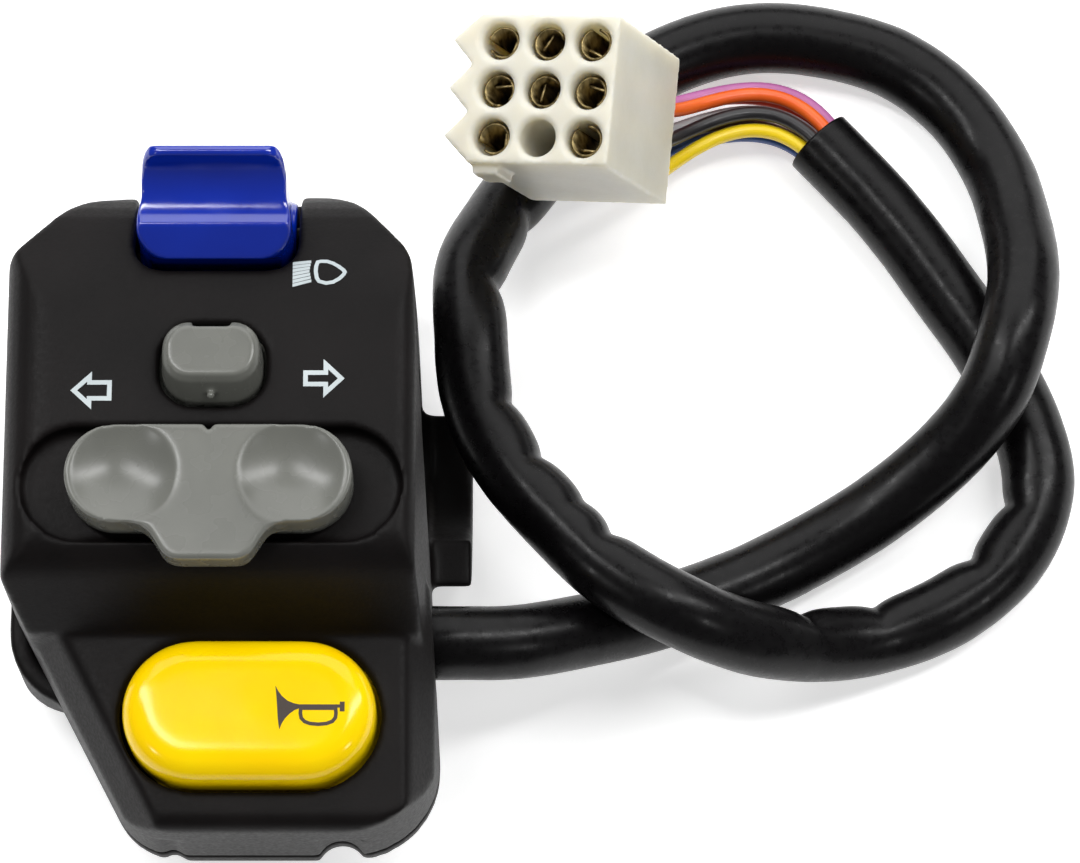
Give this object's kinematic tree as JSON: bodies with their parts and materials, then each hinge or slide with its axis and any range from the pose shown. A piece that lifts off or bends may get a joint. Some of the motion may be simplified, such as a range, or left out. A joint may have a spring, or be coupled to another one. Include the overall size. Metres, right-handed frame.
{
  "type": "handlebar switch cluster",
  "caption": "Left handlebar switch unit that clamps on a bar: headlamp rocker, cancel push, turn slider and horn push, with a sleeved harness ending in a pin-and-socket connector.",
  "frame": {"origin": "on the axis of the handlebar, in the middle of the clamp, on the parting plane of the two halves", "axes": "+X along the bar towards the side where the harness leaves, +Y up the face from the horn to the rocker, +Z out of the face towards the rider"},
  "size_m": [0.1108, 0.0964, 0.0467],
  "materials": {
    "housing_abs": "fine spark-eroded moulding texture",
    "rocker_blue": "gloss moulded",
    "control_grey": "satin moulded",
    "horn_yellow": "gloss moulded",
    "brass": "plain",
    "steel": "zinc plated",
    "contact_phenolic": "plain",
    "sleeve_pvc": "satin",
    "connector_nylon": "natural nylon",
    "pvc_pink": "satin wire insulation",
    "pvc_orange": "satin wire insulation",
    "pvc_red": "satin wire insulation",
    "pvc_black": "satin wire insulation",
    "pvc_grey": "satin wire insulation",
    "pvc_yellow": "satin wire insulation",
    "pvc_blue": "satin wire insulation",
    "pvc_brown": "satin wire insulation"
  },
  "bodies": {
    "housing": {"front_housing": "housing_abs", "rear_housing": "housing_abs", "clamp_screws": "steel", "clamp_inserts": "brass", "rocker_pivot_pin": "steel", "dip_contact_base": "contact_phenolic", "dip_fixed_contacts": "brass", "turn_contact_base": "contact_phenolic", "turn_fixed_contacts": "brass", "cancel_spring": "steel", "horn_contact_base": "contact_phenolic", "horn_fixed_contacts": "brass", "horn_spring": "steel", "base_screws": "steel", "cable_tie": "sleeve_pvc", "harness_sleeve": "sleeve_pvc", "connector_housing": "connector_nylon", "connector_sockets": "brass", "wire_pink": "pvc_pink", "wire_orange": "pvc_orange", "wire_red": "pvc_red", "wire_black": "pvc_black", "wire_grey": "pvc_grey", "wire_yellow": "pvc_yellow", "wire_blue": "pvc_blue", "wire_brown": "pvc_brown"},
    "rocker": {"dip_rocker": "rocker_blue", "dip_plunger": "brass", "dip_plunger_spring": "steel"},
    "tilt_contact": {"dip_tilt_contact": "brass"},
    "slider": {"turn_slider": "control_grey", "turn_carriage": "connector_nylon", "turn_carriage_screw": "steel", "turn_bridge": "brass", "detent_ball": "steel", "detent_spring": "steel"},
    "cancel": {"cancel_button": "control_grey"},
    "horn": {"horn_button": "horn_yellow", "horn_bridge": "brass"}
  },
  "joints": [
    {"name": "rocker_tilt", "type": "hinge", "parent": "housing", "child": "rocker", "pos_m": [0, 0.0157, 0.0155], "axis": [1, 0, 0], "range_deg": [-5, 5]},
    {"name": "contact_tilt", "type": "hinge", "parent": "housing", "child": "tilt_contact", "pos_m": [0, 0.0157, 0.0085], "axis": [1, 0, 0], "range_deg": [-6, 6]},
    {"name": "slider_travel", "type": "slide", "parent": "housing", "child": "slider", "axis": [1, 0, 0], "range_m": [-0.0042, 0.0042]},
    {"name": "cancel_push", "type": "slide", "parent": "housing", "child": "cancel", "axis": [0, 0, -1], "range_m": [0, 0.002], "stiffness_N_per_m": 400, "deforming": ["cancel_spring"]},
    {"name": "horn_push", "type": "slide", "parent": "housing", "child": "horn", "axis": [0, 0, -1], "range_m": [0, 0.002], "stiffness_N_per_m": 500, "deforming": ["horn_spring"]}
  ],
  "couplings": [
    {"joint": "contact_tilt", "follows": "rocker_tilt", "ratio": -1.1}
  ]
}
